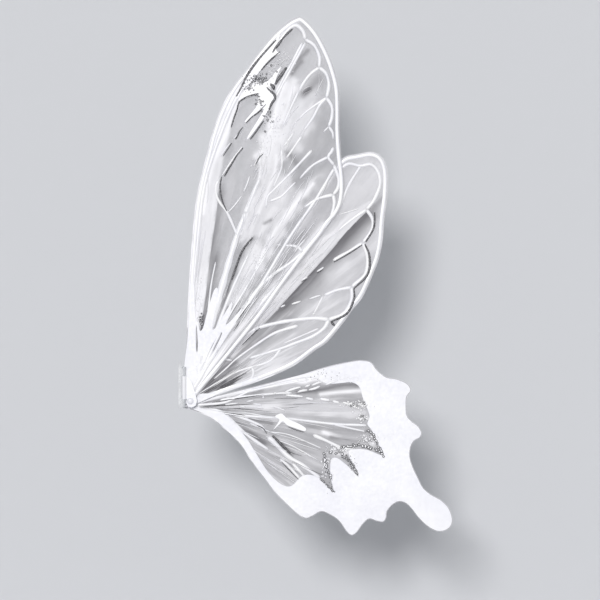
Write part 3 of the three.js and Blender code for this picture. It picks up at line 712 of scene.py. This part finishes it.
def brushed_steel():
    made, tree, shader = material("plated_steel", (0.66, 0.68, 0.71), 0.3, Metallic=1.0)
    scratches = object_noise(tree, 900, 2, (1, 1, 0.08))
    vary_roughness(tree, shader, scratches, 0.2, 0.42)
    bump(tree, shader, scratches, 0.15, 0.0001)
    return made


def clear_plastic():
    """Clear sheet with faint rub marks."""
    made, tree, shader = material("clear_plastic", (0.86, 0.87, 0.89), 0.15, Alpha=0.14)
    rubs = object_noise(tree, 320, 3, (1, 1, 0.2))
    vary_roughness(tree, shader, rubs, 0.08, 0.3)
    bump(tree, shader, rubs, 0.1, 0.0001)
    return made


def ink():
    """Dark silvery paint for dark rings, drops and fine lines, and for the painted shadows beside the ribs
    and painted marks.
    """
    made, tree, shader = material("silver_edging", (0.1, 0.1, 0.11), 0.4, Metallic=0.3)
    speck = object_noise(tree, 700, 2)
    tint = mix_colour(tree, ramp(tree, speck, 0.4, 0.7), (0.04, 0.04, 0.045, 1), (0.2, 0.2, 0.215, 1))
    tree.links.new(tint, shader.inputs["Base Color"])
    bump(tree, shader, speck, 0.3)
    return made


def film():
    """Thin film, clear to frosted. Streaks and pleats run out from the root, and near the root light and
    dark streaks paint the pleats' highlights and shade into the colour.
    """
    made, tree, shader = material("wing_film", (0.8, 0.81, 0.83), 0.42, Specular_IOR_Level=0.22)
    tint = attribute(tree, "tint", "Fac")
    cover = attribute(tree, "cover", "Fac")
    place = attribute(tree, "polar", "Vector")
    pleat = node(tree, "ShaderNodeSeparateXYZ", {0: place}).outputs[2]
    fine = noise(tree, place, (STREAKS, 3, 1), 1, 4)
    broad = noise(tree, place, (STREAKS * 0.3, 2, 1), 1, 2)
    fog = object_noise(tree, 48, 6)
    wisp = object_noise(tree, 15, 3)
    light = ramp(tree, fine, 0.52, 0.64)
    dark = ramp(tree, fine, 0.47, 0.36)
    room = times(tree, minus(tree, 1.03, tint), 3.0, clamp=True)
    # Painted highlights and shade of the pleats: strongest near the root, fading where the film is white.
    pleat_highlight_and_shade = times(tree, minus(tree, light, dark), times(tree, times(tree, pleat, room), 0.4))
    cloud = times(tree, minus(tree, broad, 0.5), 0.2)
    shade = plus(tree, plus(tree, tint, pleat_highlight_and_shade), cloud, clamp=True)
    colour = mix_colour(tree, shade, (0.1, 0.098, 0.112, 1), (0.94, 0.938, 0.975, 1))
    tree.links.new(colour, shader.inputs["Base Color"])
    more = times(tree, plus(tree, light, dark), times(tree, pleat, 0.3))
    lumps = times(tree, minus(tree, ramp(tree, fog, 0.38, 0.62), 0.5), 0.08)
    drift = times(tree, minus(tree, wisp, 0.5), 0.06)
    rays = times(tree, minus(tree, ramp(tree, fine, 0.4, 0.6), 0.5), 0.16)
    uneven = times(tree, plus(tree, plus(tree, lumps, drift), rays), minus(tree, 1.25, cover))
    alpha = plus(tree, plus(tree, cover, more), uneven, clamp=True)
    tree.links.new(maths(tree, "MAXIMUM", alpha, 0.08), shader.inputs["Alpha"])
    bump(tree, shader, plus(tree, fine, fog), 0.3, 0.0008)
    return made


def make_materials():
    return {
        "wire": white_coating("coated_wire", (0.89, 0.893, 0.91), 0.32, 600),
        "paint": white_coating("thick_paint", (0.91, 0.912, 0.925), 0.4, 800),
        "border": white_coating("border_sheet", (0.85, 0.855, 0.885), 0.42, 300),
        "painted": white_coating("painted_steel", (0.85, 0.855, 0.885), 0.38, 400),
        "nylon": white_coating("nylon", (0.88, 0.885, 0.9), 0.5, 500),
        "clear": clear_plastic(),
        "steel": brushed_steel(),
        "ink": ink(),
        "film": film(),
    }


def dress_cad(materials):
    """Gives the CAD pieces the finish of their slot in the record."""
    slots = {part["node"]: part["material_slot"] for part in frame["record"]["subparts"]}
    finishes = {**materials, "frame": materials["wire"]}
    for name, cad in frame["nodes"].items():
        if cad.type == "MESH":
            cad.data.materials.clear()
            cad.data.materials.append(finishes[slots[name]])


# ---- film

def film_net(loop, strokes):
    """A flat net of points and triangles that fills the outline, closer along the crisp strokes."""
    low, high = loop.min(0), loop.max(0)
    xs, zs = np.meshgrid(np.arange(low[0], high[0], FILM_STEP), np.arange(low[1], high[1], FILM_STEP))
    xs = xs + (np.arange(xs.shape[0]) % 2)[:, None] * FILM_STEP / 2
    grid = np.column_stack([xs.ravel(), zs.ravel()])
    folds = [smooth(line, step=2.0) for side, _, _, _, line in strokes if side]
    for fold in folds:
        grid = grid[distance_to(grid, fold)[0] > CRISP * 2.5]
    rows = [fold + normals(fold) * CRISP * side for fold in folds for side in (-1, 1)]
    inner = np.vstack([grid, *rows])
    inner = inner[inside(inner, loop)]
    inner = inner[distance_to_loop(inner, loop) > FILM_STEP * 0.55]
    points = [Vector(p) for p in np.vstack([loop, inner])]
    ring = [(i, (i + 1) % len(loop)) for i in range(len(loop))]
    flat, _, faces, *_ = delaunay_2d_cdt(points, ring, [], 1, 1e-5)
    return np.array([tuple(v) for v in flat]), [tuple(f) for f in faces]


def wisps(flat):
    """Small moves that make the edge of a patch of shading wispy."""
    x, z = flat.T
    across = 0.5 * np.sin(z / 4.3 + 1.7 * np.sin(x / 9.7)) + 0.35 * np.sin(x / 2.9 + z / 6.1)
    along = 0.5 * np.sin(x / 5.1 - 1.3 * np.sin(z / 8.3)) + 0.35 * np.sin(z / 3.3 - x / 7.3)
    return np.column_stack([across, along])


def shading(flat, zones, strokes, base):
    """The film's brightness and cover at each point."""
    shade = np.tile(np.array(base, float), (len(flat), 1))
    for softness, brightness, cover, outline in zones:
        loop = smooth(outline, True, 4.0)
        moved = flat + wisps(flat) * softness
        away = distance_to_loop(moved, loop)
        outward = np.where(inside(moved, loop), -away, away)
        weight = 1 / (1 + np.exp(np.clip(outward * 2.4 / softness, -30, 30)))
        shade += ((brightness, cover) - shade) * weight[:, None]
    for side, width, brightness, cover, line in strokes:
        away, right = distance_to(flat, smooth(line, step=6.0))
        weight = np.exp(-((away / (width * 0.55)) ** 2))
        if side:
            weight[~right] = 0
        shade += ((brightness, cover) - shade) * weight[:, None]
    return shade.T


def crinkle(flat, loop):
    """The film's height: shallow pleats that run out from the root, and a slow ripple."""
    radius, angle = polar(flat)
    height = 0.25 * np.sin(angle * 46 + 1.3 * np.sin(radius / 31)) * (0.35 + np.exp(-radius / 130))
    height += 0.18 * np.sin(flat[:, 0] / 9.1 + 2 * np.sin(flat[:, 1] / 23))
    height += 0.14 * np.sin(flat[:, 1] / 7.3 - 1.7 * np.sin(flat[:, 0] / 17))
    return height * np.clip(distance_to_loop(flat, loop) / 14, 0, 1)


def paint_film(mesh, flat, tint, cover):
    """Stores the film's shading, and each point's angle, distance and nearness to the root."""
    for name, values in (("tint", tint), ("cover", cover)):
        mesh.attributes.new(name, "FLOAT", "POINT").data.foreach_set("value", values.astype(np.float32))
    radius, angle = polar(flat)
    turn = angle / (2 * math.pi)
    rays = np.column_stack([turn * 10, radius / 250, np.exp(-radius / 150)]).astype(np.float32)
    mesh.attributes.new("polar", "FLOAT_VECTOR", "POINT").data.foreach_set("vector", rays.ravel())


def add_film(panel, parts):
    """The film as one sheet in the panel's middle plane, with its width and length, and its area."""
    loop = panel.loop
    flat, faces = film_net(loop, parts.strokes)
    verts = [panel.place(x, height, z) for (x, z), height in zip(flat, crinkle(flat, loop))]
    piece = panel.keep("film", verts, faces, "film", ["outer_film", "inner_film"])
    paint_film(piece.data, flat, *shading(flat, parts.zones, parts.strokes, parts.base))
    size = (loop.max(0) - loop.min(0)) * MM
    x, z = loop.T
    area = abs(np.dot(x, np.roll(z, -1)) - np.dot(z, np.roll(x, -1))) / 2
    return piece, tuple(size), area * MM * MM


# ---- wire and paint

def ribs(lines):
    shape = Shape()
    for start, end, line in lines:
        path = smooth(line)
        widths = np.linspace(start, end, len(path)) * RIB_BOLDNESS
        widths *= 1 + 0.1 * np.sin(np.arange(len(path)) * 0.7)
        widths[[0, -1]] *= 0.5
        shape.sweep(path, widths, RIB_HEIGHT)
    return shape


def margin_wire(loop):
    shape = Shape()
    path = loop + normals(loop, True) * (RIM + FRAME_WIDTH / 2)
    widths = FRAME_WIDTH * (1 + 0.05 * np.sin(polar(path)[0] / 19))
    shape.sweep(path, widths, FRAME_HEIGHT, closed=True, sides=10)
    return shape


def marks(strokes, lift, height):
    """Short raised strokes, thin at both ends."""
    shape = Shape()
    for width, line in strokes:
        path = smooth(line, step=1.6)
        t = np.linspace(0, 1, len(path))
        widths = width * (0.4 + 0.6 * np.sin(math.pi * np.clip(t, 0.02, 0.98)) ** 0.5)
        widths *= 1 + 0.12 * np.sin(t * len(path) * 1.9 + width)
        shape.sweep(path, widths, height, lift=lift, sides=6)
    return shape


def fine_lines(fans, edge, lift, rng):
    """Fine lines that run out from the root, kept inside the panel's outline."""
    shape = Shape()
    loop = smooth(edge, True, 6.0)
    for low, high, near, far, shortest, longest, width, count in fans:
        for _ in range(count):
            angle = math.radians(rng.uniform(low, high))
            start = rng.uniform(near, far)
            radius = np.linspace(start, start + rng.uniform(shortest, longest), FAN_POINTS)
            bend = angle + rng.uniform(-0.02, 0.02) * np.linspace(0, 1, FAN_POINTS) ** 2
            path = np.column_stack([radius * np.cos(bend), radius * np.sin(bend)])
            if not inside(path, loop).all() or distance_to_loop(path, loop).min() < FAN_CLEARANCE:
                continue
            taper = np.sin(np.linspace(0.15, math.pi - 0.15, FAN_POINTS)) ** 0.6
            shape.sweep(path, width * rng.uniform(0.4, 1.3) * taper, 0.5, lift=lift, sides=4)
    return shape


def speckle(panel, places, lift, sizes, rng):
    """Drops of paint scattered round a list of (x, z, spread in x, spread in z, count)."""
    shape = Shape()
    drops = []
    for x, z, spread_x, spread_z, count in places:
        for _ in range(count):
            drops.append((x + rng.gauss(0, spread_x), z + rng.gauss(0, spread_z), rng.uniform(*sizes),
                          rng.uniform(0.5, 1), rng.uniform(0, 3.1)))
    for x, z, radius, squash, turn in panel.within(drops):
        shape.dome(x, z, radius, 0.5, lift, 6, squash, turn)
    return shape


def add_bubbles(panel, name, chains, clusters, rng):
    """White beads in dark rings, along chains and in loose clusters."""
    places = []
    for spread, biggest, line in chains:
        for x, z in smooth(line, step=2.3):
            places.append((x + rng.uniform(-spread, spread), z + rng.uniform(-spread, spread), biggest))
    for x, z, spread_x, spread_z, count, biggest in clusters:
        for _ in range(count):
            places.append((x + rng.gauss(0, spread_x), z + rng.gauss(0, spread_z), biggest))
    beads, rings = Shape(), Shape()
    for x, z, biggest in panel.within(places):
        radius = rng.uniform(0.5, 1.0) * biggest
        rings.dome(x, z, radius + rng.uniform(0.5, 0.8), 0.3, 1.7, 10)
        beads.dome(x, z, radius, 0.6, 1.9, 8, rng.uniform(0.7, 1), rng.uniform(0, 3.1))
    panel.add(beads, f"{name}_beads", "paint")
    panel.add(rings, f"{name}_rings", "ink")


def add_paint(panel, parts):
    """Dashes and patches of white paint, and the dark lines beside them and the ribs: mostly painted
    shadows, with a few dark marks.
    """
    panel.add(marks(parts.paint, 1.0, 1.4), "dashes", "paint")
    # Dark lines beside the dashes and ribs: mostly painted shadows.
    panel.add(marks(parts.ink, 1.3, 1.0), "edging", "ink")
    for name, finish, lift, step in (("gusset", "border", 0.9, 2.0), ("patches", "paint", 1.2, 1.5)):
        outlines = [smooth(outline, True, step) for outline in getattr(parts, name)]
        if outlines:
            panel.add_sheet(outlines, SHEET_THICKNESS, lift, name, finish)


def add_fore_extras(panel, rng):
    add_bubbles(panel, "splash", [], fore.clusters, rng)
    panel.add(speckle(panel, fore.white_drops, 0.9, (0.4, 1.0), rng), "white_speckle", "paint")
    panel.add(speckle(panel, fore.dark_drops, 1.8, (0.4, 0.9), rng), "dark_speckle", "ink")


def add_hind_extras(panel, rng):
    """The opaque white sheet round the hind wing, and the beads and drops along its inner edge."""
    loop = smooth(hind.edge, True, 2.5)
    outlines = [loop + normals(loop, True) * RIM, smooth(hind.window, True, 2.5)]
    panel.add_sheet(outlines, BORDER_THICKNESS, 0, "border_sheet", "border", ["border"])
    add_bubbles(panel, "border", hind.chains, hind.clusters, rng)
    panel.add(speckle(panel, hind.white_drops, 0.9, (0.6, 1.6), rng), "white_speckle", "paint")
    panel.add(speckle(panel, hind.dark_drops, 1.3, (0.3, 0.7), rng), "dark_speckle", "ink")


def make_panel(side_name, name, materials):
    panel = Panel(side_name, name, materials)
    parts = PANELS[name]
    rng = random.Random(f"{name} wing")
    film, flat, area = add_film(panel, parts)
    margin = None
    if name != "hind":
        margin = panel.add(margin_wire(panel.loop), "margin", "wire", ["frame"])
    veins = panel.add(ribs(parts.ribs), "veins", "wire", ["ribs"] if margin else ["ribs", "frame"])
    add_paint(panel, parts)
    panel.add(fine_lines(parts.fans, parts.edge, 0.9, rng), "fine_lines", "paint")
    panel.add(fine_lines(parts.dark_fans, parts.edge, 0.8, rng), "pleat_lines", "ink")
    if name == "fore":
        add_fore_extras(panel, rng)
    if name == "hind":
        add_hind_extras(panel, rng)


# ---- stage

def plain(name, colour, see_through_back=False):
    made, tree, shader = material(name, colour, 0.9, Specular_IOR_Level=0.1)
    if see_through_back:
        back = node(tree, "ShaderNodeNewGeometry").outputs["Backfacing"]
        clear = node(tree, "ShaderNodeBsdfTransparent").outputs[0]
        mixed = node(tree, "ShaderNodeMixShader", {0: back, 1: shader.outputs[0], 2: clear})
        tree.links.new(mixed.outputs[0], tree.nodes["Material Output"].inputs[0])
    return made


def rectangle(name, corner, along, up, paper):
    """A flat sheet from one corner, with its two sides as vectors."""
    corner, along, up = Vector(corner), Vector(along), Vector(up)
    corners = [corner, corner + along, corner + along + up, corner + up]
    return new_object(name, corners, [(0, 1, 2, 3)], paper, False)


def sun(name, strength, direction, angle):
    """A distant soft light, so that the backdrop is lit evenly."""
    data = bpy.data.lights.new(name, "SUN")
    data.energy, data.angle = strength, angle
    data.color = (1.0, 0.985, 0.97)
    lamp = bpy.data.objects.new(name, data)
    lamp.rotation_euler = Vector(direction).to_track_quat("-Z", "Y").to_euler()
    bpy.context.scene.collection.objects.link(lamp)


def stage():
    wall_y = BACKDROP_DISTANCE
    floor_z = cad_box[0].z - FLOOR_DROP
    left, width, height = BACKDROP
    wall = rectangle("backdrop", (left, wall_y, floor_z), (width, 0, 0), (0, 0, height),
                     plain("backdrop_paper", (0.612, 0.624, 0.65), True))
    floor = rectangle("floor", (-FLOOR_REACH, -FLOOR_REACH, floor_z), (2 * FLOOR_REACH, 0, 0),
                      (0, 2 * FLOOR_REACH, 0), plain("floor_paper", (0.7, 0.7, 0.71)))
    across, up = SHADOW_OFFSET
    sun("key", KEY_STRENGTH, (across, wall_y, up), SHADOW_BLUR / wall_y)
    world = bpy.data.worlds.new("studio")
    world.use_nodes = True
    background = world.node_tree.nodes["Background"]
    background.inputs[0].default_value = (0.985, 1.0, 1.02, 1)
    background.inputs[1].default_value = WORLD_STRENGTH
    bpy.context.scene.world = world


def camera(centre):
    """A long lens square to the wings, so that both sides line up."""
    data = bpy.data.cameras.new("camera")
    data.sensor_width = 36
    data.lens = data.sensor_width * CAMERA_DISTANCE / VIEW_WIDTH
    data.clip_end = 100
    cam = bpy.data.objects.new("camera", data)
    cam.location = centre + Vector((0, -CAMERA_DISTANCE, 0))
    cam.rotation_euler = (math.pi / 2, 0, 0)
    bpy.context.scene.collection.objects.link(cam)
    bpy.context.scene.camera = cam


def main():
    camera(panel_root("left_fore") + Vector((VIEW_CENTRE[0] * MM, 0, VIEW_CENTRE[1] * MM)))
    materials = make_materials()
    dress_cad(materials)
    for side_name in SIDES:
        for name in PANELS:
            make_panel(side_name, name, materials)
    stage()
    scene = bpy.context.scene
    scene.view_settings.view_transform = "Standard"
    scene.cycles.transparent_max_bounces = 40


main()
